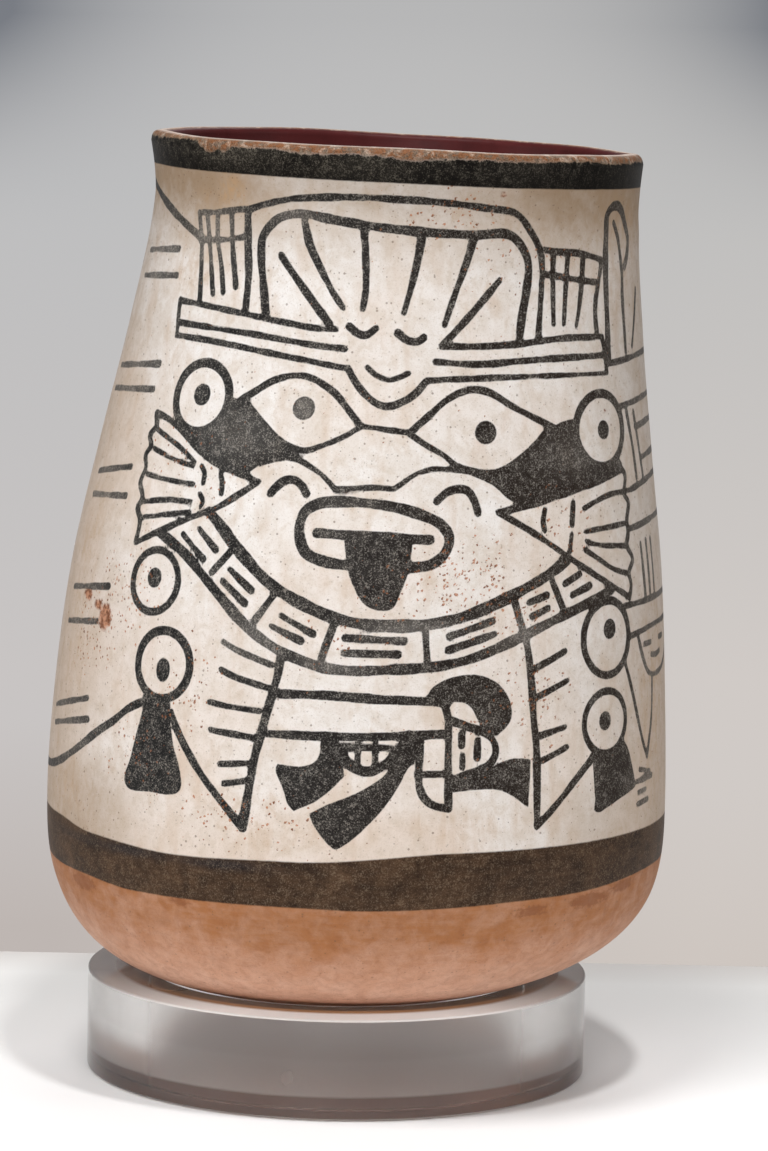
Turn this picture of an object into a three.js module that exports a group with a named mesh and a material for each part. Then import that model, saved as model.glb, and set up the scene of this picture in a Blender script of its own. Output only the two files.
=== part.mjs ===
// Painted ceramic vase with a rounded underside, standing in a clear ring.
// Millimetres, +Z up. The origin lies under the middle of the belly, on the plane the ring stands on.
// The painted front faces -Y.
import * as THREE from "three";

// Ring stand
const ringOuterDia = 101.6;
const ringWall = 12.7;
const ringHeight = 20;
const ringBevel = 0.5; // on all four rims

// Vase, from the underside up
const bellyRadius = 62.8; // widest place
const baseDepth = 39; // underside to the widest place
const baseFullness = 2.85; // 2 would be an ellipse, more is squarer
const shoulderLength = 120.5; // widest place to the narrowest
const neckRadius = 48.2; // narrowest place
const mouthLength = 12.5; // narrowest place to the lip
const mouthFlare = 1.9; // how much the lip stands out from the neck
const flareBend = 1.5;

// Walls
const wallThick = 5;
const floorThick = 7;
const lipThick = 4.2;

// Hand-built irregularity: the body stands off centre over its seat, and the neck leans
const seatDrift = 3.2; // sideways, between the seat and the belly
const seatDriftRise = 20; // height over which the body drifts
const mouthLean = 6.5; // sideways, between the belly and the lip
const leanBend = 1.8;
const mouthDip = 1.4; // how far the lip is low on the +X side and high on the other
const sideSwell = 1.2; // extra fullness of the shoulder on the +X side alone
const swellBend = 2.15; // more puts the fullest place higher
const mouthPinch = 2.2; // how far the lip is pushed in on the +X side alone
const pinchLength = 16.5; // height over which it is pushed in, down from the lip
const pinchBend = 1.5;

// Fit
const seatGap = 0.3; // between the vase and the ring's inner rim

// Smoothness
const stepsAround = 64;
const baseSteps = 11;
const shoulderSteps = 13;
const mouthSteps = 4;
const lipSteps = 5;

// Share of the way from neck radius to belly radius, at even steps from the belly up to the neck
const shoulderShares = [1, 0.925, 0.76, 0.47, 0.18, 0];

const ringOuterRadius = ringOuterDia / 2;
const ringBoreRadius = ringOuterRadius - ringWall;

// Smooth curve through evenly spaced values, level at both ends
function throughShares(shares, t) {
  const spans = shares.length - 1;
  const k = Math.min(Math.floor(t * spans), spans - 1);
  const slopeAt = (i) => (i === 0 || i === spans ? 0 : (shares[i + 1] - shares[i - 1]) / 2);
  const u = t * spans - k;
  const rise = u * u * (3 - 2 * u);
  const bend = u * (1 - u);
  return (
    shares[k] * (1 - rise) +
    shares[k + 1] * rise +
    bend * ((1 - u) * slopeAt(k) - u * slopeAt(k + 1))
  );
}

// Height above the underside at which the rounded base has this radius
function baseHeightAt(radius, radiusMax, depth) {
  const share = Math.min(radius / radiusMax, 1);
  return depth * (1 - Math.pow(1 - Math.pow(share, baseFullness), 1 / baseFullness));
}

// The rounded base as points from the axis out to the widest place
function basePoints(radiusMax, depth, underside, steps) {
  const points = [];
  for (let i = 0; i <= steps; i += 1) {
    const angle = (Math.PI / 2) * (i / steps);
    const radius = i === 0 ? 0 : radiusMax * Math.pow(Math.sin(angle), 2 / baseFullness);
    const drop = i === steps ? 0 : depth * Math.pow(Math.cos(angle), 2 / baseFullness);
    points.push(new THREE.Vector2(radius, underside + depth - drop));
  }
  return points;
}

// The underside sits so low that the base clears both corners of the bore's bevelled rim by the gap
const rimCorners = [
  [ringBoreRadius + ringBevel, ringHeight],
  [ringBoreRadius, ringHeight - ringBevel],
];
const underside =
  seatGap +
  Math.max(...rimCorners.map(([r, z]) => z - baseHeightAt(r, bellyRadius, baseDepth)));
const bellyHeight = underside + baseDepth;
const neckHeight = bellyHeight + shoulderLength;
const lipHeight = neckHeight + mouthLength;
const lipOuterRadius = neckRadius + mouthFlare;
const lipCentreRadius = lipOuterRadius - lipThick / 2;
const lipCentreHeight = lipHeight - lipThick / 2;

// Outer radius of the shoulder and mouth at a height between the belly and the lip's round edge
function sideRadius(height) {
  if (height <= neckHeight) {
    const share = throughShares(shoulderShares, (height - bellyHeight) / shoulderLength);
    return neckRadius + (bellyRadius - neckRadius) * share;
  }
  const flared = Math.min((height - neckHeight) / (lipCentreHeight - neckHeight), 1);
  return neckRadius + mouthFlare * Math.pow(flared, flareBend);
}

// Wall thickness narrows to the lip's over the mouth
function wallAt(height) {
  const share = Math.max(0, (height - neckHeight) / (lipCentreHeight - neckHeight));
  return wallThick + (lipThick - wallThick) * Math.min(share, 1);
}

// How far the vase's middle lies to the side at a height
function driftAt(height) {
  const seated = THREE.MathUtils.clamp((height - ringHeight) / seatDriftRise, 0, 1);
  const risen = Math.max(0, (height - bellyHeight) / (lipHeight - bellyHeight));
  return seatDrift * (1 - (1 - seated) ** 2) + mouthLean * Math.pow(risen, leanBend);
}

// How much further out than a turned shape the wall is at a height, on the +X side
function fullnessAt(height) {
  const risen = THREE.MathUtils.clamp((height - bellyHeight) / (lipHeight - bellyHeight), 0, 1);
  const pinched = Math.max(0, (height - lipHeight + pinchLength) / pinchLength);
  return (
    sideSwell * Math.sin(Math.PI * Math.pow(risen, swellBend)) -
    mouthPinch * Math.pow(pinched, pinchBend)
  );
}

// Leans and fills out the turned shape and dips its mouth, about the widest place
function settleByHand(geometry) {
  const position = geometry.getAttribute("position");
  const centre = driftAt(bellyHeight);
  for (let i = 0; i < position.count; i += 1) {
    const x = position.getX(i);
    const z = position.getZ(i);
    const risen = THREE.MathUtils.smoothstep(z, bellyHeight, neckHeight);
    const sideways = z > bellyHeight ? Math.max(0, x / sideRadius(z)) : 0;
    position.setX(i, x + driftAt(z) - centre + fullnessAt(z) * sideways ** 2);
    position.setZ(i, z - mouthDip * (x / neckRadius) * risen);
  }
}

function turned(points) {
  const geometry = new THREE.LatheGeometry(points, stepsAround);
  geometry.rotateX(Math.PI / 2);
  return geometry;
}

function makeVase() {
  const points = basePoints(bellyRadius, baseDepth, underside, baseSteps);
  const heights = [];
  for (let i = 1; i <= shoulderSteps; i += 1) {
    heights.push(bellyHeight + (shoulderLength * i) / shoulderSteps);
  }
  for (let i = 1; i <= mouthSteps; i += 1) {
    heights.push(neckHeight + ((lipCentreHeight - neckHeight) * i) / mouthSteps);
  }
  for (const height of heights) {
    points.push(new THREE.Vector2(sideRadius(height), height));
  }
  for (let i = 1; i < lipSteps; i += 1) {
    const angle = (Math.PI * i) / lipSteps;
    const radius = lipCentreRadius + (lipThick / 2) * Math.cos(angle);
    points.push(new THREE.Vector2(radius, lipCentreHeight + (lipThick / 2) * Math.sin(angle)));
  }
  for (const height of heights.reverse()) {
    points.push(new THREE.Vector2(sideRadius(height) - wallAt(height), height));
  }
  const innerDepth = baseDepth - floorThick;
  const innerFloor = underside + floorThick;
  points.push(...basePoints(bellyRadius - wallThick, innerDepth, innerFloor, baseSteps).reverse());
  const geometry = turned(points);
  settleByHand(geometry);
  const clay = new THREE.MeshStandardMaterial({ color: 0xded2c2, roughness: 0.6, metalness: 0 });
  const vase = new THREE.Mesh(geometry, clay);
  vase.name = "vase";
  return vase;
}

function makeRingStand() {
  const inner = ringBoreRadius;
  const outer = ringOuterRadius;
  const b = ringBevel;
  const points = [
    [inner + b, 0],
    [outer - b, 0],
    [outer, b],
    [outer, ringHeight - b],
    [outer - b, ringHeight],
    [inner + b, ringHeight],
    [inner, ringHeight - b],
    [inner, b],
    [inner + b, 0],
  ].map(([r, z]) => new THREE.Vector2(r, z));
  const clear = new THREE.MeshStandardMaterial({
    color: 0xeceff0,
    roughness: 0.06,
    metalness: 0,
    transparent: true,
    opacity: 0.35,
  });
  const ring = new THREE.Mesh(turned(points), clear);
  ring.position.x = -driftAt(bellyHeight);
  ring.name = "ring_stand";
  return ring;
}

const painted = new THREE.Group();
painted.add(makeVase(), makeRingStand());

export default painted;
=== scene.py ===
import math

import bpy
import numpy as np
from mathutils import Matrix, Vector


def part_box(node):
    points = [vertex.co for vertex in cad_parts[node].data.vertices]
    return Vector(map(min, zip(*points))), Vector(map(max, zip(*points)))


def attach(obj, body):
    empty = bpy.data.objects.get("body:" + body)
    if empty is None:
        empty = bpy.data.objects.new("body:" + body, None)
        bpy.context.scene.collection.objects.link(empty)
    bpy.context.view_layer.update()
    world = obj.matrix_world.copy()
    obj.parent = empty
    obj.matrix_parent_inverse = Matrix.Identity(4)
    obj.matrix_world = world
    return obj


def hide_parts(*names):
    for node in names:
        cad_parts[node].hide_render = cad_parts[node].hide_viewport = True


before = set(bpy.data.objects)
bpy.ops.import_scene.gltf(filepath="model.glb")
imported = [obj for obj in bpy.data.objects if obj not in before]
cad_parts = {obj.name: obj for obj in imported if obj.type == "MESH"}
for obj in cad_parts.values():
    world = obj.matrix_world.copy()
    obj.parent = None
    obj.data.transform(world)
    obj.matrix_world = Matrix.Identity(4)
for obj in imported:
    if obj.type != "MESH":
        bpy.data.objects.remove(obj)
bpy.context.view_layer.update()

scene = bpy.context.scene
scene.view_settings.view_transform = "Standard"
mm = 0.001


# the vase's turned form, in millimetres, as the solid has it
vaseForm = {
    "underside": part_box("vase")[0].z / mm,
    "bellyRadius": 62.8,
    "baseDepth": 39.0,
    "baseFullness": 2.85,
    "shoulderLength": 120.5,
    "shoulderShares": [1, 0.925, 0.76, 0.47, 0.18, 0],
    "neckRadius": 48.2,
    "mouthLength": 12.5,
    "mouthFlare": 1.9,
    "flareBend": 1.5,
    "wall": 5.0,
    "floor": 7.0,
    "lip": 4.2,
    "lipFlatness": 2.8,  # 2 is round, more is squarer
    "seatHeight": 20.0,
    "seatDrift": 3.2,
    "seatDriftRise": 20.0,
    "mouthLean": 6.5,
    "leanBend": 1.8,
    "mouthDip": 1.4,
    "sideSwell": 1.2,
    "swellBend": 2.15,
    "mouthPinch": 2.2,
    "pinchLength": 16.5,
    "pinchBend": 1.5,
    "fineStep": 0.82,  # spacing of the mesh where the paint is
    "fineHalfAngle": 82,  # degrees each side of the front
    "columnsFront": 258,
    "columnsBehind": 120,
}
vf = vaseForm
bellyHeight = vf["underside"] + vf["baseDepth"]
neckHeight = bellyHeight + vf["shoulderLength"]
lipHeight = neckHeight + vf["mouthLength"]
lipCentreHeight = lipHeight - vf["lip"] / 2
lipCentreRadius = vf["neckRadius"] + vf["mouthFlare"] - vf["lip"] / 2


def smooth01(x):
    x = np.clip(x, 0, 1)
    return x * x * (3 - 2 * x)


def shoulderShare(t):
    shares = np.array(vf["shoulderShares"], float)
    spans = len(shares) - 1
    k = np.minimum((t * spans).astype(int), spans - 1)
    slopes = np.zeros(len(shares))
    slopes[1:-1] = (shares[2:] - shares[:-2]) / 2
    u = t * spans - k
    rise = u * u * (3 - 2 * u)
    bend = u * (1 - u)
    return (shares[k] * (1 - rise) + shares[k + 1] * rise
            + bend * ((1 - u) * slopes[k] - u * slopes[k + 1]))


def outerRadius(height):
    z = np.asarray(height, float)
    low = np.clip((bellyHeight - z) / vf["baseDepth"], 0, 1)
    base = vf["bellyRadius"] * (1 - low ** vf["baseFullness"]) ** (1 / vf["baseFullness"])
    t = np.clip((z - bellyHeight) / vf["shoulderLength"], 0, 1)
    side = vf["neckRadius"] + (vf["bellyRadius"] - vf["neckRadius"]) * shoulderShare(t)
    flared = np.clip((z - neckHeight) / (lipCentreHeight - neckHeight), 0, 1)
    side = side + vf["mouthFlare"] * flared ** vf["flareBend"]
    return np.where(z < bellyHeight, base, side)


def sideShift(height):
    z = np.asarray(height, float)
    seated = np.clip((z - vf["seatHeight"]) / vf["seatDriftRise"], 0, 1)
    risen = np.maximum(0, (z - bellyHeight) / (lipHeight - bellyHeight))
    return (vf["seatDrift"] * (1 - (1 - seated) ** 2) - vf["seatDrift"]
            + vf["mouthLean"] * risen ** vf["leanBend"])


def fullness(height):
    # how much further out than a turned shape the wall is, on the +X side
    z = np.asarray(height, float)
    risen = np.clip((z - bellyHeight) / (lipHeight - bellyHeight), 0, 1)
    pinched = np.maximum(0, (z - lipHeight + vf["pinchLength"]) / vf["pinchLength"])
    return (vf["sideSwell"] * np.sin(math.pi * risen ** vf["swellBend"])
            - vf["mouthPinch"] * pinched ** vf["pinchBend"])


def basePoints(radius, depth, bottom, steps):
    turn = np.linspace(0, math.pi / 2, steps + 1)
    power = 2 / vf["baseFullness"]
    r = radius * np.sin(turn) ** power
    z = bottom + depth - depth * np.clip(np.cos(turn), 0, 1) ** power
    return np.stack([r, z], 1)


def spacedAlong(points, gaps):
    # points at the given gaps along a profile; gaps is a function of the place on it
    steps = np.linalg.norm(np.diff(points, axis=0), axis=1)
    run = np.concatenate([[0], np.cumsum(steps)])
    places, at = [], 0.0
    while at < run[-1]:
        places.append(at)
        at += gaps(np.interp(at, run, points[:, 1]))
    places.append(run[-1])
    return np.stack([np.interp(places, run, points[:, k]) for k in (0, 1)], 1)


def vaseProfile():
    # outside, over the lip, and down the inside; returns the points and which part each is on
    base = basePoints(vf["bellyRadius"], vf["baseDepth"], vf["underside"], 400)
    heights = np.linspace(bellyHeight, lipCentreHeight, 900)[1:]
    outside = np.vstack([base, np.stack([outerRadius(heights), heights], 1)])
    outside = spacedAlong(outside, lambda z: 3.0 if z < 18.5 else 1.3 if z < 42 else vf["fineStep"])
    turn = np.linspace(0, math.pi, 15)[1:-1]
    flat = 2 / vf["lipFlatness"]
    outward = np.sign(np.cos(turn)) * np.abs(np.cos(turn)) ** flat
    lip = np.stack([lipCentreRadius + vf["lip"] / 2 * outward,
                    lipCentreHeight + vf["lip"] / 2 * np.sin(turn) ** flat], 1)
    share = np.clip((heights - neckHeight) / (lipCentreHeight - neckHeight), 0, 1)
    wall = vf["wall"] + (vf["lip"] - vf["wall"]) * share
    inner = np.stack([outerRadius(heights) - wall, heights], 1)[::-1]
    floor = basePoints(vf["bellyRadius"] - vf["wall"], vf["baseDepth"] - vf["floor"],
                       vf["underside"] + vf["floor"], 60)[::-1]
    inside = spacedAlong(np.vstack([inner, floor]), lambda z: 2.0 if z > 180 else 8.0)
    zone = np.concatenate([np.zeros(len(outside)), np.linspace(0, 1, len(lip) + 2)[1:-1],
                           np.full(len(inside), 2.0)])
    return np.vstack([outside, lip, inside]), zone


# Brushwork gives each point of the wall its distance to the nearest edge of the paint.
# Places are given as (degrees round from the front, millimetres up), widths in millimetres.
def bend(points, perSpan=6):
    if len(points) < 3:
        return points
    ends = np.vstack([2 * points[0] - points[1], points, 2 * points[-1] - points[-2]])
    gaps = np.maximum(np.linalg.norm(np.diff(ends, axis=0), axis=1), 1e-6) ** 0.5
    t = np.concatenate([[0], np.cumsum(gaps)])
    path = [points[:1]]
    for i in range(1, len(ends) - 2):
        u = np.linspace(t[i], t[i + 1], perSpan + 1)[1:, None]

        def blend(a, b, low, high):
            return ((t[high] - u) * a + (u - t[low]) * b) / (t[high] - t[low])

        a1 = blend(ends[i - 1], ends[i], i - 1, i)
        a2 = blend(ends[i], ends[i + 1], i, i + 1)
        a3 = blend(ends[i + 1], ends[i + 2], i + 1, i + 2)
        b1 = blend(a1, a2, i - 1, i + 1)
        b2 = blend(a2, a3, i, i + 2)
        path.append(blend(b1, b2, i, i + 1))
    return np.vstack(path)


def smoothPath(points):
    # a smooth curve through the points; a point given twice running is a sharp corner
    points = np.array(points, float)
    same = [i for i in range(1, len(points)) if np.allclose(points[i], points[i - 1])]
    runs = np.split(points, same)
    return np.vstack([bend(run) for run in runs])


class Brush:
    def __init__(self, angle, height):
        self.angle, self.height = angle, height
        self.scale = outerRadius(height) * math.pi / 180  # millimetres in a degree
        self.ink = np.full(len(angle), 6.0)
        self.hand = {"swell": 0.08, "reach": 3.0}

    def local(self, path):
        # the points near a path, as millimetres from it in the wall's own surface
        middle = (path[:, 0].min() + path[:, 0].max()) / 2
        turn = (self.angle - middle + 180) % 360 - 180 + middle
        reach = self.hand["reach"]
        near = ((turn > path[:, 0].min() - reach) & (turn < path[:, 0].max() + reach)
                & (self.height > path[:, 1].min() - reach) & (self.height < path[:, 1].max() + reach))
        index = np.nonzero(near)[0]
        return index, turn[index], self.height[index], self.scale[index]

    def distances(self, path, index, turn, height, scale):
        # distance to each point's nearest place on the path, and how far along the path that is
        best, along = np.full(len(index), 1e9), np.zeros(len(index))
        run = 0.0
        for (a0, z0), (a1, z1) in zip(path[:-1], path[1:]):
            dx, dz = (a1 - a0) * scale, z1 - z0
            px, pz = (turn - a0) * scale, height - z0
            t = np.clip((px * dx + pz * dz) / np.maximum(dx * dx + dz * dz, 1e-9), 0, 1)
            d = np.hypot(px - t * dx, pz - t * dz)
            length = math.hypot(a1 - a0, z1 - z0)
            closer = d < best
            best = np.where(closer, d, best)
            along = np.where(closer, run + t * length, along)
            run += length
        return best, along, run

    def line(self, points, width, ends=(1, 1)):
        # ends gives the width's share at each end of the stroke
        path = smoothPath(points)
        index, turn, height, scale = self.local(path)
        if not len(index):
            return
        d, along, run = self.distances(path, index, turn, height, scale)
        phase = path[0, 0] * 1.7 + path[0, 1]
        swell = 1 + self.hand["swell"] * (np.sin(along / 2.9 + phase) + 0.6 * np.sin(along / 1.1 + 2 * phase))
        share = along / max(run, 1e-6)
        half = width / 2 * swell * (ends[0] + (ends[1] - ends[0]) * share)
        self.ink[index] = np.minimum(self.ink[index], d - half)

    def lines(self, several, width, ends=(1, 1)):
        for points in several:
            self.line(points, width, ends)

    def area(self, points):
        # signed distance to a closed outline, negative inside it
        path = smoothPath(points)
        path = np.vstack([path, path[:1]])
        index, turn, height, scale = self.local(path)
        d, along, run = self.distances(path, index, turn, height, scale)
        inside = np.zeros(len(index), bool)
        for (a0, z0), (a1, z1) in zip(path[:-1], path[1:]):
            if z0 == z1:
                continue
            crosses = ((z0 > height) != (z1 > height))
            inside ^= crosses & (turn < (a1 - a0) * (height - z0) / (z1 - z0) + a0)
        return index, np.where(inside, -d, d)

    def patch(self, points):
        index, d = self.area(points)
        self.ink[index] = np.minimum(self.ink[index], d)

    def clear(self, points):
        index, d = self.area(points)
        self.ink[index] = np.maximum(self.ink[index], -d)

    def roundArea(self, centre, across, up):
        path = np.array([[centre[0] - across, centre[1] - up], [centre[0] + across, centre[1] + up]])
        index, turn, height, scale = self.local(path)
        away = np.hypot((turn - centre[0]) * scale / across, (height - centre[1]) / up)
        return index, (away - 1) * min(across, up)

    def dot(self, centre, across, up=None):
        index, d = self.roundArea(centre, across, up or across)
        self.ink[index] = np.minimum(self.ink[index], d)

    def eyeDisc(self, centre, inner, rim, dot, dotSize):
        # a ring of paint with a bare middle and a dot in it
        across, up = inner
        self.dot(centre, across + rim, up + rim)
        index, d = self.roundArea(centre, across, up)
        self.ink[index] = np.maximum(self.ink[index], -d)
        self.dot(dot, *dotSize)


headdress = {
    "outerArch": [(-36, 175.3), (-33, 176.2), (-25, 177.9), (-12, 178.9), (0, 179), (10, 178.8), (20, 178.1),
                  (28, 177.1), (32.1, 173.8), (35, 170), (35.7, 166.7), (35.4, 160.8), (34.8, 153.5)],
    "innerArch": [(-27.7, 155.8), (-28.8, 159.2), (-31.4, 167.5), (-31.5, 170.3), (-28.3, 173.8), (-22.8, 175.2),
                  (-15, 174.5), (0, 173.3), (18, 172.9), (26, 173.2), (29.2, 171.6), (31.8, 168), (31.7, 163.3),
                  (30.5, 157.5), (30, 153.8)],
    "rays": [[(-21.4, 173.8), (-19.5, 169.5), (-16.5, 165.5), (-12.5, 160.5), (-10, 157.9)],
             [(-7.4, 173.3), (-6.5, 169), (-5.5, 161.7), (-5.7, 158)],
             [(5.9, 172.5), (5.5, 168.3), (4.3, 161.7), (3.3, 157.5)],
             [(17.8, 172), (16.7, 168), (14.3, 161.3), (12.4, 155.6)]],
    "slantRays": [[(-26.2, 167.1), (-20, 161.5), (-12.4, 154.6)], [(24.7, 164.4), (18, 157.5), (12.6, 152.1)]],
    "eyes": [[(-8.3, 154.6), (-6.2, 153.3), (-4.3, 153.1), (-2.4, 154.5)],
             [(2.4, 153.8), (4.5, 152.5), (6.8, 152.3), (8, 153.1)]],
    "smile": [(-3.5, 147), (-1.2, 145.5), (1.3, 144.9), (3.4, 145.4), (5.3, 146.3)],
    "chin": [(-7.6, 146.7), (-5.3, 143.8), (-2.8, 141.5), (-0.3, 140.1), (1.8, 139.9), (4.3, 140.8),
             (6.8, 142.3), (9.3, 145)],
    "leftBars": [[(-53.5, 156.6), (-45, 156.3), (-35, 155.6), (-25, 154.7), (-15, 153.8), (-11, 153.9)],
                 [(-53, 152.5), (-32, 151.9), (-15, 150.6), (-8.7, 150.3)],
                 [(-52.5, 150), (-40, 149.7), (-20, 148), (-7.6, 146.6)],
                 [(-53.7, 156.8), (-52.3, 150)]],
    "rightBars": [[(12, 151.6), (20, 151.7), (30, 152.3), (40.8, 153.3), (54.6, 153.4)],
                  [(10.9, 148.6), (20, 148.3), (30, 149), (40, 149.5), (55.5, 149.8)],
                  [(54.8, 153.3), (55.8, 150), (56.3, 146.5)]],
    "rightLowBar": [(9.3, 145), (15, 145.4), (30, 146), (45, 146.2), (56.5, 146.2)],
}


def paintHeaddress(brush):
    h = headdress
    brush.line(h["outerArch"], 1.4)
    brush.line(h["innerArch"], 1.8)
    brush.lines(h["rays"], 1.55, (1.05, 0.75))
    brush.lines(h["slantRays"], 1.55, (0.9, 1))
    brush.lines(h["eyes"], 1.5)
    brush.line(h["smile"], 1.15)
    brush.line(h["chin"], 1.45)
    brush.lines(h["leftBars"], 1.25)
    brush.lines(h["rightBars"], 1.35)
    brush.line(h["rightLowBar"], 1.35, (1, 0.65))


combs = {
    "left": [[(-52.5, 173.7), (-45, 174.3), (-38, 175.2), (-36, 175.3)],
             [(-52.3, 173.5), (-50, 168.5), (-46.7, 157)],
             [(-49.2, 173.3), (-46.5, 167), (-43, 158.6)],
             [(-45.8, 173.8), (-44.5, 169), (-42, 164), (-40, 159)],
             [(-41.2, 174), (-39.8, 168.5), (-36.7, 160.4)],
             [(-50.5, 168.6), (-43, 169), (-38, 169.7), (-35.5, 170.2)]],
    "leftSide": [(-36.5, 174.5), (-35, 167.5), (-33.8, 163), (-33, 156)],
    "right": [[(35.8, 170.4), (40, 170), (45, 169.8), (49.2, 169.4), (55.4, 168.3)],
              [(55.2, 167.9), (54.2, 164.2), (52.9, 160.8), (52.5, 157.5), (52.9, 154.2)],
              [(36.7, 165.6), (40.8, 165.2), (45, 164.7), (53.3, 164)]],
    "rightTines": [[(38.75, 170), (38.8, 165), (39, 156)],
                   [(43.3, 169.6), (42.8, 164.6), (42, 156)],
                   [(48.3, 169.2), (48, 165), (46.9, 159.2), (45.8, 155.6)]],
}


def paintCombs(brush):
    brush.lines(combs["left"], 1.25)
    brush.line(combs["leftSide"], 1.7)
    brush.lines(combs["right"], 1.35)
    brush.lines(combs["rightTines"], 1.5, (1, 0.7))


mask = {
    "leftUpper": [(-30.3, 139.4), (-27.8, 140.8), (-23.7, 143.3), (-19.5, 144.6), (-16.6, 144.7), (-13.3, 143.8),
                  (-9.5, 141.7), (-6.2, 138.5), (-3.7, 136)],
    "leftLower": [(-28.5, 138.8), (-23.7, 135), (-19.5, 132.1), (-16.2, 131), (-14.5, 130.8), (-11.2, 131.9),
                  (-7, 133.8), (-3.7, 135.8)],
    "bridge": [(-3.7, 136), (6.75, 135)],
    "rightUpper": [(6.5, 135.2), (10, 138.3), (13.8, 141.5), (17.2, 143.1), (20, 143.5), (23.3, 142.9),
                   (28.3, 140.4), (35.8, 137.3), (38.3, 136.3)],
    "rightLower": [(6.5, 134.8), (9.7, 132.9), (13.8, 130.8), (16.3, 129), (20, 128.1), (22.5, 127.8), (25, 127.9),
                   (27.5, 129), (30, 130.4), (34.6, 133.8), (37.4, 136.2)],
    "pupils": [((-15.9, 138.7), 2.25), ((22.3, 135.4), 2.2)],
    "leftPatch": [(-37, 139.6), (-31, 139.5), (-28.3, 138.9), (-28.3, 138.9), (-23.7, 135), (-19.5, 132.1),
                  (-16, 130.9), (-16, 130.9), (-15.3, 129.4), (-15.3, 129.4), (-18.7, 129), (-21.6, 128.5),
                  (-23.7, 127.4), (-26, 125.6), (-26, 125.6), (-23.3, 124.5), (-23.3, 124.5), (-30, 125.8),
                  (-35, 127.5), (-40, 129.6), (-42.5, 131.3), (-46, 133.2), (-46, 133.2)],
    "rightPatch": [(38.3, 136.3), (38.3, 136.3), (41, 137.3), (45.5, 137.9), (45.5, 137.9), (53, 133),
                   (60.6, 128.2), (60.6, 128.2), (59.6, 126.9), (53.3, 125.8), (45, 124.1), (36.7, 122.3),
                   (28.3, 121.3), (25, 120.2), (25, 120.2), (28.5, 121.8), (26.7, 123.1), (25, 124.6),
                   (22.5, 126), (20, 127), (20, 127), (22.5, 127.8), (25, 127.9), (27.5, 129), (30, 130.4),
                   (34.6, 133.8), (37.4, 136.2)],
    "muzzle": [(-23.7, 127.5), (-21.6, 128.5), (-18.7, 129.2), (-15.75, 129), (-12.8, 127.7), (-9.9, 126),
               (-7.8, 124), (-7.8, 124), (-5.3, 124.1), (0.9, 124.6), (3.8, 124.4), (3.8, 124.4), (5.5, 125.6),
               (8, 127.3), (11.3, 128.3), (14.7, 128.3), (18, 128.1), (21.3, 127.3)],
    "nostrils": [[(-20.5, 122.4), (-19.4, 123.8), (-17.8, 125), (-16, 125.2), (-14.3, 124.2), (-13.2, 122.7)],
                 [(12.4, 122.3), (14.25, 123.9), (16.3, 124.6), (18.4, 124.4), (19.9, 122.7), (20.8, 120.1)]],
    "mouth": [(-13.9, 116.7), (-13.25, 119.2), (-10.75, 121), (-7, 121.6), (-1.2, 121.6), (4.25, 121),
              (9.7, 119.6), (13.4, 117.9), (15.1, 115.4), (14.25, 112.5), (11.75, 110.4), (8, 109.8), (2, 109.7),
              (-3.7, 109.8), (-8.7, 110.4), (-12, 111.7), (-13.5, 114.2), (-13.9, 116.7)],
    "lip": [(-10.3, 115.6), (11.3, 115)],
    "tongue": [(-5.1, 115.4), (-5.1, 115.4), (-4.5, 111.7), (-3.7, 108.3), (-2.4, 105.4), (-0.75, 102.9),
               (1.3, 101.7), (3.4, 101.5), (4.9, 102.1), (6.1, 105), (7.2, 108.3), (7.8, 111.7), (8, 115),
               (8, 115)],
}


def paintMask(brush):
    m = mask
    brush.patch(m["leftPatch"])
    brush.patch(m["rightPatch"])
    brush.line(m["leftUpper"], 1.35)
    brush.line(m["leftLower"], 1.15)
    brush.line(m["bridge"], 1.1)
    brush.line(m["rightUpper"], 1.35)
    brush.line(m["rightLower"], 1.2)
    for centre, size in m["pupils"]:
        brush.dot(centre, size)
    brush.line(m["muzzle"], 1.1)
    brush.lines(m["nostrils"], 1.75, (1, 0.85))
    brush.line(m["mouth"], 2.05)
    brush.line(m["lip"], 2.0)
    brush.patch(m["tongue"])
    brush.eyeDisc((-40.6, 139), (5.8, 5.6), 1.9, (-40.5, 139.5), (2.1, 2.1))
    brush.eyeDisc((53.1, 135.2), (6.8, 6.2), 1.9, (53.75, 135.2), (1.9, 1.9))


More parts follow.
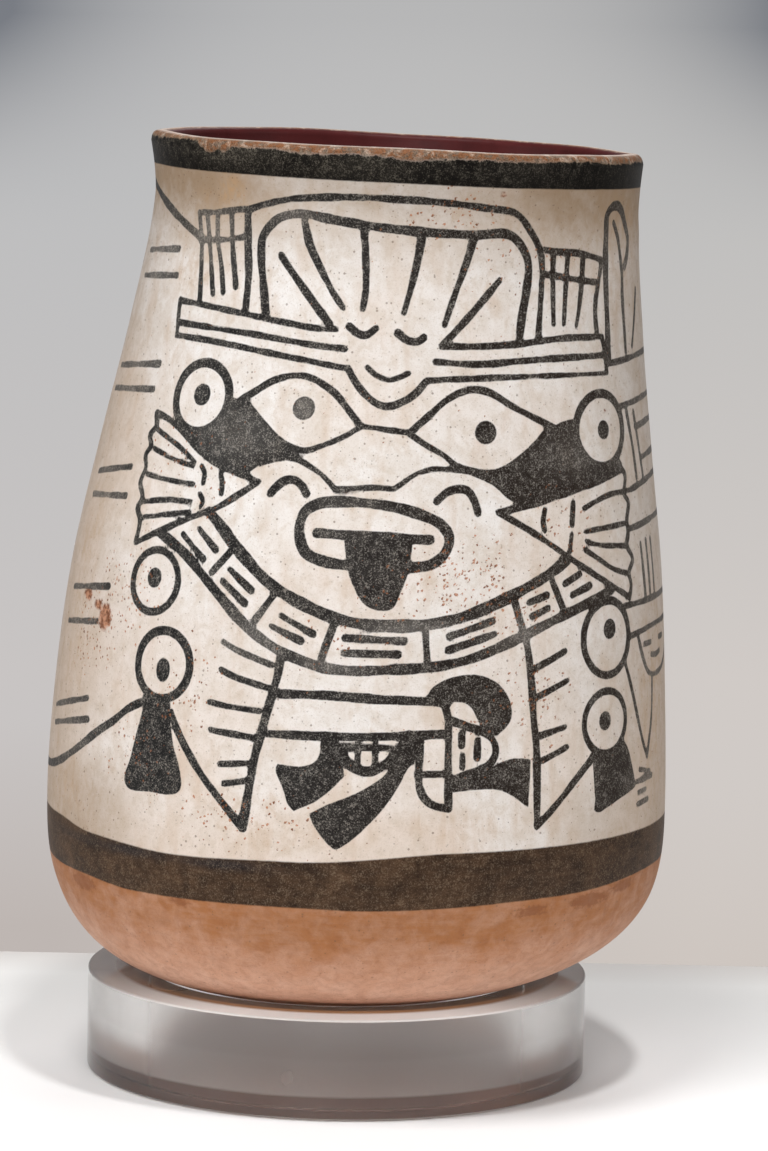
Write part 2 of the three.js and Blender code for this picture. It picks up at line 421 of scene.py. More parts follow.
fans = {
    "leftEdges": [[(-53.3, 135), (-49.2, 134.2), (-45.4, 132.9), (-42.5, 131.3), (-35, 127.5), (-23.3, 124.4)],
                  [(-50.8, 110.4), (-45, 113.1), (-35.8, 117.1), (-31.7, 118.8), (-27.5, 121.5), (-23.6, 124.2)]],
    "leftScallops": [(-53.3, 134.6), (-52.3, 132.5), (-54, 130.6), (-52.7, 128.8), (-54, 126.7), (-52.9, 124.6),
                     (-53.75, 121.5), (-52.3, 119.6), (-51.9, 118.3), (-52.9, 116.9), (-51.25, 114.8),
                     (-51, 113.3), (-51.25, 110.4)],
    "leftRibs": [[(-51.7, 131.9), (-44.2, 129.4), (-39, 126.9)], [(-51.7, 128.3), (-44.2, 126.7), (-39.2, 126.1)],
                 [(-52.1, 123.3), (-44.2, 122.8), (-38.3, 122.6)], [(-51.7, 118), (-44.2, 119.2), (-38, 119.3)],
                 [(-50.8, 115.1), (-43.3, 116.5), (-37.9, 117.4)]],
    "leftMarks": [[(-37.1, 126.3), (-36, 125), (-35.9, 123.1)], [(-32.1, 125), (-31.5, 123.8), (-31.2, 121.5)],
                  [(-36.3, 121), (-35.2, 119.8), (-35.6, 118.5)]],
    "rightEdges": [[(25, 120.2), (36.7, 122.3), (45, 124.1), (59.6, 126.9)],
                   [(25, 120.2), (32.5, 116.3), (40.8, 111.3), (49.2, 106.7), (59.8, 101.7)]],
    "rightScallops": [(59.6, 127.5), (61.25, 126), (60.8, 123.8), (60, 122.5), (61.9, 120.4), (60.6, 117.1),
                      (60.8, 114.6), (59.8, 112.1), (61.9, 109.2), (60, 106.7), (60.6, 104.2), (59.8, 101.7)],
    "rightRibs": [[(46, 120.2), (50, 121.5), (54.6, 122.5), (59.6, 122.7)], [(46, 115.8), (60.4, 116.5)],
                  [(46.3, 113.8), (50, 112.9), (59.6, 112)], [(45.8, 112.2), (50, 110), (54.2, 107.9), (59.6, 106.5)]],
    "rightMarks": [[(35.75, 120.6), (35.2, 118.3), (35.5, 116.5)], [(43.1, 121.5), (42.5, 117.3)],
                   [(42.3, 115.4), (41.6, 112.3)]],
}


def paintFans(brush):
    f = fans
    brush.lines(f["leftEdges"], 1.25)
    brush.line(f["leftScallops"], 1.3)
    brush.lines(f["leftRibs"], 1.05)
    brush.lines(f["leftMarks"], 1.1)
    brush.lines(f["rightEdges"], 1.3)
    brush.line(f["rightScallops"], 1.4)
    brush.lines(f["rightRibs"], 1.15)
    brush.lines(f["rightMarks"], 1.3)


collar = {
    "inner": [(-33.3, 117.9), (-30, 115.4), (-26.7, 112.3), (-23.5, 109.6), (-19.5, 106.3), (-15.3, 103.8),
              (-11.2, 101.9), (-7, 100.2), (-2.8, 99.2), (1.3, 98.75), (5.5, 98.7), (9.7, 98.8), (13.8, 99.4),
              (18, 100.4), (22.2, 101.9), (28.3, 104.4), (36.7, 108.3), (40.8, 110.8)],
    "outer": [(-44.6, 112.9), (-40.8, 111.3), (-36.7, 109.2), (-32.9, 106.3), (-27.8, 102.1), (-23.7, 98.5),
              (-19.5, 95.4), (-15.3, 93.1), (-11.2, 91.5), (-7, 90.4), (-2.8, 90), (5.5, 90.4), (13.8, 91.1),
              (19.7, 92.4), (24.2, 94), (32.5, 97.3), (40, 100), (45, 101.5), (53.3, 104)],
    "dividers": [[(-27.1, 111), (-30.6, 106.7)], [(-17.4, 103.5), (-20.75, 98.3)], [(-5.75, 98.75), (-7.8, 91.5)],
                 [(10.9, 98.3), (11.5, 91.9)], [(28.3, 103.5), (30.2, 97.3)], [(36.7, 107.1), (39.6, 100.8)]],
    "leftBars": [[(-38.6, 113.2), (-32.9, 109)], [(-35, 114.6), (-30.4, 111)], [(-26.9, 107.7), (-21.9, 104)],
                 [(-28.1, 105.4), (-22.9, 101.5)], [(-15.75, 99.8), (-9.5, 96.7)], [(-17.4, 97.7), (-11.6, 95.2)]],
    "rightBars": [[(-3.5, 96.2), (7.2, 95.8)], [(-3.7, 93.3), (6.1, 93.3)], [(15.5, 96.7), (23.8, 99.5)],
                  [(15.4, 94.1), (24.3, 97)], [(31.5, 102.8), (35.6, 104)], [(32.2, 100.1), (35.9, 101.5)],
                  [(40, 106), (44, 107.7)], [(41.8, 103.7), (46.6, 105.2)]],
}


def paintCollar(brush):
    brush.line(collar["inner"], 2.3)
    brush.line(collar["outer"], 2.0)
    brush.lines(collar["dividers"], 1.5)
    brush.lines(collar["leftBars"], 1.4, (0.85, 1.1))
    brush.lines(collar["rightBars"], 1.55)


hangings = {
    "discs": [((-43.9, 103.75), (5.4, 5.1), 1.55, (-44, 104.4), (1.9, 1.9)),
              ((-39.2, 88.3), (5.7, 5.6), 1.8, (-39, 87.3), (1.75, 2.3)),
              ((51.7, 94.5), (6.65, 6.5), 1.7, (52.3, 96.2), (2.0, 2.0)),
              ((51, 77.9), (6.05, 5.4), 1.5, (50.6, 78.2), (1.95, 1.95))],
    "leftTassel": [(-42.5, 81.3), (-36.5, 80.8), (-36.5, 80.8), (-36, 76.7), (-35, 72.9), (-33.5, 69.2),
                   (-32.9, 65.4), (-34.2, 64), (-40, 63.7), (-45.4, 63.75), (-46.5, 65.4), (-45.2, 69.6),
                   (-44.2, 74.2), (-43.3, 78.3), (-42.5, 81.3)],
    "rightTassel": [(46.9, 71.4), (47.5, 65), (47.7, 62.5), (47.4, 61), (48.75, 60.3), (50.8, 60.8), (55, 62.1),
                    (59.2, 63.1), (61.25, 64), (60.6, 65.8), (59.6, 68.75), (58.3, 71.7), (56, 74.5)],
    "leftLine": [(-42.5, 81), (-46.7, 79), (-50.8, 76), (-55, 73.5), (-63.3, 68.5), (-71.7, 64.8), (-79.2, 63.1),
                 (-90, 62.4), (-101, 63.5)],
    "leftTip": [(-36.25, 79.6), (-34.8, 76.7), (-29.2, 68.8), (-25.8, 65), (-20.4, 59)],
    "leftSide": [(-15.1, 91.7), (-15.3, 89.2), (-17.2, 80), (-18.7, 72.5), (-19.5, 66.3), (-20.4, 59)],
    "rightTip": [(47.1, 71.5), (42.5, 67.5), (37.5, 62.7), (33.6, 59.3)],
    "rightSide": [(30.2, 97.3), (31, 95), (32.1, 87.1), (32.7, 79.6), (33.3, 74.6), (33.6, 59.5)],
    "leftTicks": [[(-26.6, 94), (-23.7, 92.7), (-16.6, 90.3)], [(-26.4, 88.7), (-23.7, 87.6), (-17, 86)],
                  [(-28.25, 82.4), (-24.5, 81.9), (-18.25, 81.5)], [(-27.6, 77.1), (-18.7, 76.3)],
                  [(-25.3, 70.8), (-19.1, 71.5)], [(-24.3, 67.1), (-19.9, 68.1)]],
    "rightTicks": [[(32.5, 89.8), (39.8, 92.9)], [(33.3, 84.4), (40.4, 87.1)], [(34.4, 76.9), (39.8, 78.1)],
                   [(34.4, 71.9), (40.2, 74.1)]],
}


def paintHangings(brush):
    h = hangings
    brush.patch(h["leftTassel"])
    brush.patch(h["rightTassel"])
    brush.line(h["leftLine"], 1.7)
    brush.line(h["leftTip"], 1.6)
    brush.line(h["leftSide"], 1.8)
    brush.line(h["rightTip"], 1.6)
    brush.line(h["rightSide"], 1.7)
    brush.lines(h["leftTicks"], 1.25)
    brush.lines(h["rightTicks"], 1.5, (1, 0.85))
    for disc in h["discs"]:
        brush.eyeDisc(*disc)


carried = {
    "rails": [[(-14.9, 85), (-7, 85.2), (1.3, 84.8), (15.5, 84.2)], [(-16.6, 77.3), (0.5, 77.5), (15.1, 78.1)]],
    "hair": [(11.5, 85.2), (12.8, 87.1), (15.1, 88.5), (18, 89.2), (21.3, 89.2), (24.25, 88.1), (26.3, 86.25),
             (27.9, 83.1), (27.7, 80), (25, 77.2), (25, 77.2), (22.2, 79.2), (20.9, 81.25), (20.1, 82.9),
             (18.4, 84), (14, 84.2)],
    "post": [(15.1, 83.3), (15.7, 80.8), (15.9, 72.5), (16.1, 64.2)],
    "face": [(16.3, 80.6), (18.8, 79.6), (22.2, 78.3), (24.25, 76.7), (24.9, 74.2), (23.8, 72.1), (20.9, 70.6),
             (16.5, 69.2)],
    "slits": [[(18.3, 78.1), (18.3, 75.8)], [(18.5, 73.75), (18.5, 71.5)], [(21.3, 76.7), (21.3, 73.3)]],
    "flare": [(16.5, 69.4), (20.1, 69.9), (23.8, 71.3), (27.5, 72.7), (32.1, 72.5), (32.1, 72.5), (31.9, 67.5),
              (31.7, 62.9), (31.7, 62.9), (28.3, 65.6), (25.4, 66.9), (22.5, 67.2), (16.5, 66.8), (16.5, 66.8)],
    "box": [(10.7, 77.9), (10.6, 72.5), (10.7, 68.3), (11.75, 65.8), (13.4, 64.4), (16.1, 63.75)],
    "boxBar": [(10.1, 70.4), (15.5, 70.4)],
    "combBar": [(-3.25, 75.4), (5.9, 75.4)],
    "combTines": [[(-0.25, 76.7), (-0.25, 72.5)], [(2.8, 76.7), (2.8, 72.1)]],
    "combBowl": [(-3.25, 75), (-2.4, 72.9), (-0.3, 71.3), (2.2, 71), (4.7, 72.5), (6.3, 74.6)],
    "leftFeather": [(-14.5, 71.7), (-9.9, 71.5), (-7.8, 72.5), (-7, 74.2), (-7, 76.7), (-7, 76.7), (-3.7, 76.7),
                    (-3.25, 74.2), (-2.4, 70), (-2.4, 70), (-5.3, 66.7), (-7.8, 64.6), (-11.2, 62.9),
                    (-11.2, 62.9), (-12.3, 64.2), (-13.25, 67.1), (-14.7, 70.4), (-14.5, 71.7)],
    "midFeather": [(7, 77), (5.5, 73.75), (4.9, 70.8), (2.2, 68.3), (-1.2, 66.3), (-5.3, 64.4), (-8.5, 62.5),
                   (-8.5, 62.5), (-7.4, 60), (-5.3, 57.1), (-3.7, 55.6), (-3.7, 55.6), (-2, 56.7), (1.3, 60),
                   (4.7, 64.2), (7.2, 68.3), (8.6, 71.3), (9.7, 72.9), (10.1, 76.7), (8.8, 79), (7, 77)],
}


def paintCarried(brush):
    c = carried
    brush.patch(c["hair"])
    brush.patch(c["leftFeather"])
    brush.patch(c["midFeather"])
    brush.patch(c["flare"])
    brush.line(c["rails"][0], 1.8)
    brush.line(c["rails"][1], 1.7)
    brush.line(c["post"], 1.6)
    brush.line(c["face"], 1.6)
    brush.lines(c["slits"], 1.5)
    brush.line(c["box"], 1.6)
    brush.line(c["boxBar"], 1.3)
    brush.line(c["combBar"], 1.2)
    brush.lines(c["combTines"], 1.2)
    brush.line(c["combBowl"], 1.9)


# what runs on round the sides, and plainer behind
sides = {
    "leftPairs": [((-77, 165), (-58.5, 166.3)), ((-77, 160), (-57, 161.2)), ((-80, 142), (-56.5, 144.1)),
                  ((-80, 137.5), (-56.5, 139.2)), ((-75.5, 121.5), (-58.3, 124.1)), ((-75.5, 117), (-57.8, 118.5)),
                  ((-75.4, 98.8), (-57.6, 101.1)), ((-75.5, 92.1), (-60, 94)), ((-78, 75), (-60.2, 79)),
                  ((-77.5, 71.5), (-59.3, 75))],
    "leftRise": [(-101, 180), (-88, 178.6), (-80, 177.3), (-70, 174.9), (-60, 172), (-50, 168.9)],
    "loop": [(57.3, 149.2), (57.2, 160.8), (57.3, 173.3), (57.7, 177), (59.6, 178.5), (62.5, 178.75),
             (65.4, 177.5), (67.9, 174.6), (69.6, 171.7), (68.75, 168.75), (67, 166.7)],
    "loopInner": [(61, 175.4), (63.3, 172.1), (65.4, 165.8), (65.2, 160.8), (65.8, 150)],
    "rightLines": [[(75.5, 162), (70, 151)], [(56.7, 148), (80, 149.4), (104, 149)], [(60.2, 139.4), (80, 140.8),
                   (104, 140.6)], [(68.3, 135), (80, 135.8), (104, 135.5)], [(64, 138.75), (66.3, 130), (67.1, 125)],
                   [(68, 138), (71.25, 125)], [(70.8, 128.75), (80, 129.4), (104, 129.4)],
                   [(60, 122.5), (80, 124.8), (104, 124.6)], [(61, 115.2), (80, 116.5), (104, 116.2)],
                   [(66.25, 111.9), (67.3, 101.7)], [(69.4, 112.3), (70.2, 101.9)], [(72.6, 112.4), (73.2, 102)],
                   [(57.5, 100.2), (80, 100.6), (104, 100.4)]],
    "rightHead": [[(59.4, 94), (70, 95), (88, 95.2)], [(62.9, 93.75), (65, 89.2), (67.9, 85.8), (72, 85),
                  (79, 86), (84, 89), (86.5, 95)], [(65.8, 91.7), (69.6, 91.7)], [(75.5, 91.9), (79.3, 91.9)],
                  [(69.6, 89.2), (72.9, 88.8), (76, 89.2)]],
    "rightTail": [[(57.1, 89.6), (59.2, 85), (64.2, 72.9), (66.5, 69)], [(70, 85), (69.2, 76.7), (66.5, 69)],
                  [(62.9, 66.9), (67.9, 65.8)], [(61.7, 64.6), (69.2, 64.8)], [(62.3, 62.3), (65.8, 62.5)],
                  [(62, 60), (67, 60.4)]],
}
behind = {
    "start": 104,
    "end": 256,
    "top": 172,
    "bottom": 66,
    "rails": [149.0, 100.4],
    "panels": 5,
    "discSize": 7.5,
    "discRim": 1.7,
    "ticks": 4,
    "tickLength": 9,
}


def paintSides(brush):
    for low, high in sides["leftPairs"]:
        brush.line([low, high], 1.3, (0.85, 1.05))
    brush.line(sides["leftRise"], 1.7)
    brush.line(sides["loop"], 1.9)
    brush.line(sides["loopInner"], 1.4)
    brush.lines(sides["rightLines"], 1.3)
    brush.lines(sides["rightHead"], 1.2)
    brush.lines(sides["rightTail"], 1.15)


def paintBehind(brush):
    b = behind
    for angle in (b["start"], b["end"]):
        brush.line([(angle, b["bottom"]), (angle - 1.5, (b["bottom"] + b["top"]) / 2), (angle, b["top"])], 2.3)
    for height in b["rails"]:
        brush.line([(b["start"], height), ((b["start"] + b["end"]) / 2, height + 1.2), (b["end"], height)], 1.8)
    middle = sum(b["rails"]) / 2
    span = (b["end"] - b["start"]) / b["panels"]
    for k in range(b["panels"]):
        angle = b["start"] + (k + 0.5) * span
        size = b["discSize"]
        brush.eyeDisc((angle, middle + (-1) ** k * 1.5), (size, size * 0.95), b["discRim"],
                      (angle + 0.5, middle + 1), (2.3, 2.3))
        if k:
            edge = b["start"] + k * span
            brush.line([(edge, b["rails"][1]), (edge + 1, middle), (edge, b["rails"][0])], 2.2)
        for side in (-1, 1):
            tip = angle + side * span * 0.2
            brush.line([(tip, b["rails"][0] + 5), (tip + side, b["top"] - 8)], 2.2, (1, 0.85))
            brush.line([(tip, b["rails"][1] - 5), (tip + side, b["bottom"] + 10)], 2.2, (1, 0.85))
    for k in range(b["ticks"]):
        height = b["bottom"] + 10 + k * 30
        for lift in (0, 4.6):
            brush.line([(b["end"] + 2, height + lift), (b["end"] + 2 + b["tickLength"], height + lift + 0.8)], 1.3)


bands = {
    "rimLow": 182.0,
    "rimTop": [(-180, 187.4), (-75, 187.6), (-54, 188), (-51, 186.8), (-49.5, 186), (-47.5, 185.8), (-45.5, 186.5),
               (-43.5, 186.2), (-41, 187.2), (-30, 187.3), (-22, 186.8), (-8, 187), (2, 186.3), (10, 187),
               (27, 187.1), (45, 187.4), (60, 187), (75, 187.2), (180, 187.4)],
    "footTop": [(-180, 54.2), (-70, 54.4), (-55, 53.1), (-35, 52.3), (-12, 53), (18, 55), (70, 54.8), (180, 54.2)],
    "footLow": [(-180, 45.4), (-60, 44.4), (-45, 43.6), (-10, 44), (0, 43.8), (40, 44.9), (70, 46.2), (180, 45.4)],
}
# soft stains: (angle, height, half width, half height, strength)
stains = {
    "rust": [(-57.3, 95.2, 2.7, 3.0, 1.0), (-60.5, 97.2, 2.2, 1.4, 0.8), (-65.5, 98.6, 2.6, 1.5, 0.9),
             (-64.5, 132, 0.8, 0.7, 0.6), (-61.5, 131, 0.6, 0.6, 0.6), (-66, 103, 1.2, 1.2, 0.5),
             (-64.5, 90.3, 0.9, 0.5, 0.5), (24, 180.8, 1.2, 0.5, 1.0), (10.5, 177, 0.5, 0.3, 0.9),
             (17, 106, 6, 5, 0.25), (-5.3, 123.5, 0.7, 0.6, 0.9), (54.8, 138.8, 0.5, 0.5, 0.9),
             (-43, 130.5, 1.3, 0.6, 0.5), (-53, 113.5, 1.4, 0.7, 0.5), (41.5, 175.8, 0.8, 0.6, 0.5)],
    "tan": [(-42, 178.5, 3.5, 3.5, 0.9), (-50, 176.8, 2.5, 2, 0.4), (-53, 162, 5, 4, 0.45), (-46, 163, 3, 4, 0.5),
            (-13, 59, 16, 4, 0.3), (12, 177, 3, 2, 0.3), (45, 167, 3, 2.5, 0.4), (-70, 100, 9, 22, 0.3),
            (-66, 60, 9, 4, 0.35), (66, 170, 10, 12, 0.35), (72, 80, 10, 20, 0.4), (-20, 63, 10, 3, 0.3),
            (20, 60, 12, 3, 0.25), (0, 106, 12, 5, 0.15)],
    "worn": [(-48, 171, 7, 6, 0.8), (-44, 174, 5, 3, 0.6), (-24, 175, 6, 2, 0.5), (-5, 119, 6, 3, 0.3),
             (8, 98, 8, 2, 0.6), (-22, 95, 7, 5, 0.5), (-30, 133, 8, 5, 0.35), (45, 131, 9, 4, 0.25),
             (-70, 165, 12, 9, 0.75), (-70, 140, 12, 9, 0.75), (-70, 118, 12, 8, 0.7), (-68, 96, 11, 8, 0.6),
             (-70, 73, 12, 8, 0.6), (66, 168, 9, 14, 0.5), (74, 135, 12, 20, 0.55), (74, 108, 12, 14, 0.6),
             (70, 85, 9, 14, 0.6), (67, 63, 7, 6, 0.9), (-16, 138.7, 3, 3, 0.6), (-6, 91, 7, 2, 0.5),
             (-40, 186, 9, 2.5, 0.5), (-10, 185, 9, 3, 0.35), (30, 185, 9, 3, 0.3), (30, 97, 8, 3, 0.5)],
    "ochre": [(-60, 42.5, 6, 2.2, 1.0), (-50, 41, 5, 1.6, 0.5), (-33, 43, 3, 1.2, 0.9), (34, 42.5, 7, 1.6, 0.8),
              (48, 43, 7, 1.9, 1.0), (58, 44.5, 6, 1.6, 0.9), (10, 42, 6, 1.2, 0.3)],
    "spray": [(18, 108, 9, 7, 1.0), (28, 101, 7, 6, 0.7), (8, 104, 8, 4, 0.5), (-20, 61, 11, 4, 0.7),
              (-34, 84, 6, 9, 0.5), (-52, 100, 7, 7, 0.8), (-60, 92, 7, 6, 0.9), (32, 84, 7, 7, 0.7),
              (-33, 121, 4, 4, 0.6), (22, 76, 5, 5, 0.5), (14, 176, 10, 4, 0.5), (30, 168, 10, 5, 0.4),
              (-6, 95, 10, 4, 0.4), (-45, 70, 8, 6, 0.5), (40, 118, 8, 6, 0.4), (-44, 128, 6, 4, 0.6)],
    "inkWash": [(-60, 51.6, 12, 1.0, 0.6), (-45, 51.6, 12, 1.0, 0.8), (-25, 51.5, 10, 1.0, 0.8), (35, 49, 14, 4, 0.1),
                (60, 50, 12, 4, 0.15)],
}


def softSpots(spots, angle, height, scale):
    total = np.zeros(len(angle))
    for at, up, across, tall, strength in spots:
        turn = (angle - at + 180) % 360 - 180
        d = ((turn * scale) / across) ** 2 + ((height - up) / tall) ** 2
        total = np.maximum(total, strength * np.exp(-0.9 * d))
    return total


def waveAlong(points, angle):
    # an edge's height round the vase, smooth between the given places
    at, up = np.array(points, float).T
    k = np.clip(np.searchsorted(at, angle, side="right") - 1, 0, len(at) - 2)
    return up[k] + (up[k + 1] - up[k]) * smooth01((angle - at[k]) / (at[k + 1] - at[k]))


def inkAt(angle, height, part):
    painted = np.nonzero((part == 0) & (height > 54))[0]
    brush = Brush(angle[painted], height[painted])
    for paint in (paintBehind, paintSides, paintHeaddress, paintCombs, paintCollar, paintHangings, paintCarried,
                  paintMask, paintFans):
        paint(brush)
    ink = np.full(len(angle), 6.0)
    ink[painted] = brush.ink
    return ink


def buildVase():
    profile, zone = vaseProfile()
    front = np.linspace(-vf["fineHalfAngle"], vf["fineHalfAngle"], vf["columnsFront"])
    rest = np.linspace(vf["fineHalfAngle"], 360 - vf["fineHalfAngle"], vf["columnsBehind"] + 2)[1:-1]
    columns = np.concatenate([front, rest])
    columns = (columns + 180) % 360 - 180
    radius, height = profile[1:-1, 0], profile[1:-1, 1]
    zone = zone[1:-1]
    rows, around = len(radius), len(columns)
    angle = np.tile(columns, rows)
    up = np.repeat(height, around)
    out = np.repeat(radius, around)
    part = np.repeat(zone, around)
    turn = np.radians(angle)
    ripple = 0.16 * np.sin(2 * turn + 0.7) + 0.1 * np.sin(5 * turn + 2) + 0.06 * np.sin(9 * turn + 1)
    nearLip = smooth01((up - neckHeight) / (lipHeight - neckHeight))
    dip = vf["mouthDip"] * (out * np.sin(turn) / vf["neckRadius"]) * smooth01(
        (up - bellyHeight) / (neckHeight - bellyHeight))
    sideways = np.where(up > bellyHeight, np.maximum(0, out * np.sin(turn) / outerRadius(up)), 0)
    x = out * np.sin(turn) + sideShift(up) + fullness(up) * sideways ** 2
    y = -out * np.cos(turn)
    z = up - dip + ripple * nearLip
    points = np.stack([x, y, z], 1)
    centres = np.array([[sideShift(profile[i, 1]), 0, profile[i, 1]] for i in (0, -1)], float)
    points = np.vstack([points, centres]) * mm
    first, last = rows * around, rows * around + 1

    ink = inkAt(angle, up, part)
    i = np.arange(rows - 1)[:, None] * around
    j = np.arange(around)[None]
    k = (j + 1) % around
    quads = np.stack([i + j, i + k, i + around + k, i + around + j], -1).reshape(-1, 4)
    # each cell is split along the diagonal that keeps the paint's edge truer in its middle
    step = (angle[quads[:, 1]] - angle[quads[:, 0]]) % 360
    middle = inkAt((angle[quads[:, 0]] + step / 2 + 180) % 360 - 180, (up[quads[:, 0]] + up[quads[:, 2]]) / 2,
                   part[quads[:, 0]])
    a, b, c, d = quads.T
    other = np.abs(ink[b] + ink[d] - 2 * middle) < np.abs(ink[a] + ink[c] - 2 * middle)
    shells = np.concatenate([
        np.stack([a, b, np.where(other, d, c)], 1), np.stack([np.where(other, b, a), c, d], 1)])
    bottom = np.stack([np.full(around, first), k[0], j[0]], 1)
    top = (rows - 1) * around
    inner = np.stack([np.full(around, last), top + j[0], top + k[0]], 1)
    triangles = np.concatenate([shells, bottom, inner])
    mesh = bpy.data.meshes.new("painted_vase")
    mesh.vertices.add(len(points))
    mesh.vertices.foreach_set("co", points.astype(np.float32).ravel())
    mesh.loops.add(triangles.size)
    mesh.loops.foreach_set("vertex_index", triangles.ravel().astype(np.int32))
    mesh.polygons.add(len(triangles))
    mesh.polygons.foreach_set("loop_start", (np.arange(len(triangles)) * 3).astype(np.int32))
    mesh.polygons.foreach_set("use_smooth", np.ones(len(triangles), bool))
    mesh.update(calc_edges=True)
    mesh.validate()

    scale = outerRadius(up) * math.pi / 180
    footTop = waveAlong(bands["footTop"], angle)
    footLow = waveAlong(bands["footLow"], angle)
    outside = part < 0.5
    # brown with handling, and painted shade standing for light falling off, round the neck and down the sides, more so
    # on the right
    grimeAndShade = smooth01((np.abs(angle + 4) - 38) / 40) * np.where(angle > 0, 0.5, 0.46)
    lowGrimeAndShade = np.where(angle > 0, 0.42, 0.66)
    grimeAndShade = np.maximum(grimeAndShade, lowGrimeAndShade * smooth01((74 - up) / 14) * smooth01((np.abs(angle + 4) - 30) / 24))
    grimeAndShade = np.maximum(grimeAndShade, smooth01((up - 160) / 20) * (0.5 + 0.5 * smooth01((np.abs(angle + 2) - 20) / 26)))
    fields = {
        "ink": ink,
        "rimLow": np.where(outside, bands["rimLow"] - up, 4.0),
        "rimHigh": np.where(outside, up - waveAlong(bands["rimTop"], angle), 4.0),
        "grimeAndShade": np.where(outside, grimeAndShade, 0.0),
        "footInk": np.where(outside, np.maximum(footLow - up, up - footTop), 4.0),
        "clay": np.where(outside, up - footLow, 4.0),
        "lipTurn": np.where(part == 0, np.clip((up - 184.6) / 8, 0, 0.24), part * 0.5 + 0.25),
        "highness": (up - vf["underside"]) / (lipHeight - vf["underside"]),
    }
    for name, spots in stains.items():
        fields[name] = np.where(outside, softSpots(spots, angle, up, scale), 0.0)
    for name, values in fields.items():
        values = np.concatenate([values, [4.0 if name == "ink" else values[0], values[-1]]])
        attribute = mesh.attributes.new(name, "FLOAT", "POINT")
        attribute.data.foreach_set("value", values.astype(np.float32))
    vase = bpy.data.objects.new("painted_vase", mesh)
    scene.collection.objects.link(vase)
    print("vase:", rows, "rows,", around, "columns,", len(triangles), "triangles")
    return vase


ringForm = {
    "outerRadius": 50.8,
    "boreRadius": 38.1,
    "height": 20.0,
    "bevel": 0.4,
    "bevelSteps": 3,
    "around": 288,
    "centre": -vf["seatDrift"],
}


def buildRing():
    f = ringForm
    corners = [(f["boreRadius"], 0, 1, 1), (f["outerRadius"], 0, -1, 1),
               (f["outerRadius"], f["height"], -1, -1), (f["boreRadius"], f["height"], 1, -1)]
    section = []
    for n, (r, z, inR, inZ) in enumerate(corners):
        start = math.pi + n * math.pi / 2
        for s in range(f["bevelSteps"] + 1):
            turn = start + s / f["bevelSteps"] * math.pi / 2
            section.append((r + f["bevel"] * (inR + math.cos(turn)), z + f["bevel"] * (inZ + math.sin(turn))))
    count = len(section)
    points, faces = [], []
    for k in range(f["around"]):
        turn = 2 * math.pi * k / f["around"]
        for r, z in section:
            points.append(((f["centre"] + r * math.sin(turn)) * mm, -r * math.cos(turn) * mm, z * mm))
        nextK = (k + 1) % f["around"]
        for s in range(count):
            t = (s + 1) % count
            faces.append((k * count + s, nextK * count + s, nextK * count + t, k * count + t))
    mesh = bpy.data.meshes.new("clear_ring")
    mesh.from_pydata(points, [], faces)
    mesh.polygons.foreach_set("use_smooth", [True] * len(faces))
    sharp = mesh.attributes.new("sharp_edge", "BOOLEAN", "EDGE")
    bends = {s for s in range(count) if s % (f["bevelSteps"] + 1) in (0, f["bevelSteps"])}
    for edge, mark in zip(mesh.edges, sharp.data):
        a, b = edge.vertices
        mark.value = a % count == b % count and a % count in bends
    # which wall each face is on, for its finish: the polished outside, the bore, or a sawn end
    side = np.array([(s // (f["bevelSteps"] + 1), s % (f["bevelSteps"] + 1)) for s in range(count)])
    # the rounded edge of the sawn top goes with it; the others stay clear
    flatSide = {0: "cut", 1: "outerWall", 2: "cut", 3: "bore"}
    for name in ("cut", "outerWall", "bore"):
        share = [float(flatSide[int(n)] == name and (step == f["bevelSteps"] or n == 2)) for n, step in side]
        attribute = mesh.attributes.new(name, "FLOAT", "FACE")
        attribute.data.foreach_set("value", np.tile(share, f["around"]).astype(np.float32))
    mesh.validate()
    ring = bpy.data.objects.new("clear_ring", mesh)
    scene.collection.objects.link(ring)
    print("ring:", len(faces) * 2, "triangles")
    return ring


class Wire:
    # a node's output; Python's operators put Math nodes after it
    def __init__(self, finish, socket):
        self.finish, self.socket = finish, socket

    def math(self, operation, *others, clamp=False):
        values = {0: self}
        values.update({n + 1: v for n, v in enumerate(others)})
        return self.finish.node("ShaderNodeMath", {"operation": operation, "use_clamp": clamp}, values)

    def __add__(self, other):
        return self.math("ADD", other)

    __radd__ = __add__

    def __mul__(self, other):
        return self.math("MULTIPLY", other)

    __rmul__ = __mul__

    def __sub__(self, other):
        return self.math("SUBTRACT", other)

    def __rsub__(self, other):
        return self.finish.node("ShaderNodeMath", {"operation": "SUBTRACT"}, {0: other, 1: self})

    def __truediv__(self, other):
        return self.math("DIVIDE", other)

    def __pow__(self, other):
        return self.math("POWER", other)

    def clip(self):
        return self.math("ADD", 0.0, clamp=True)

    def over(self, level, soft):
        # 0 below the level and 1 above it, with a soft change between
        return ((self - level) / soft + 0.5).clip()

    def under(self, level, soft):
        return ((level - self) / soft + 0.5).clip()

    def most(self, other):
        return self.math("MAXIMUM", other)


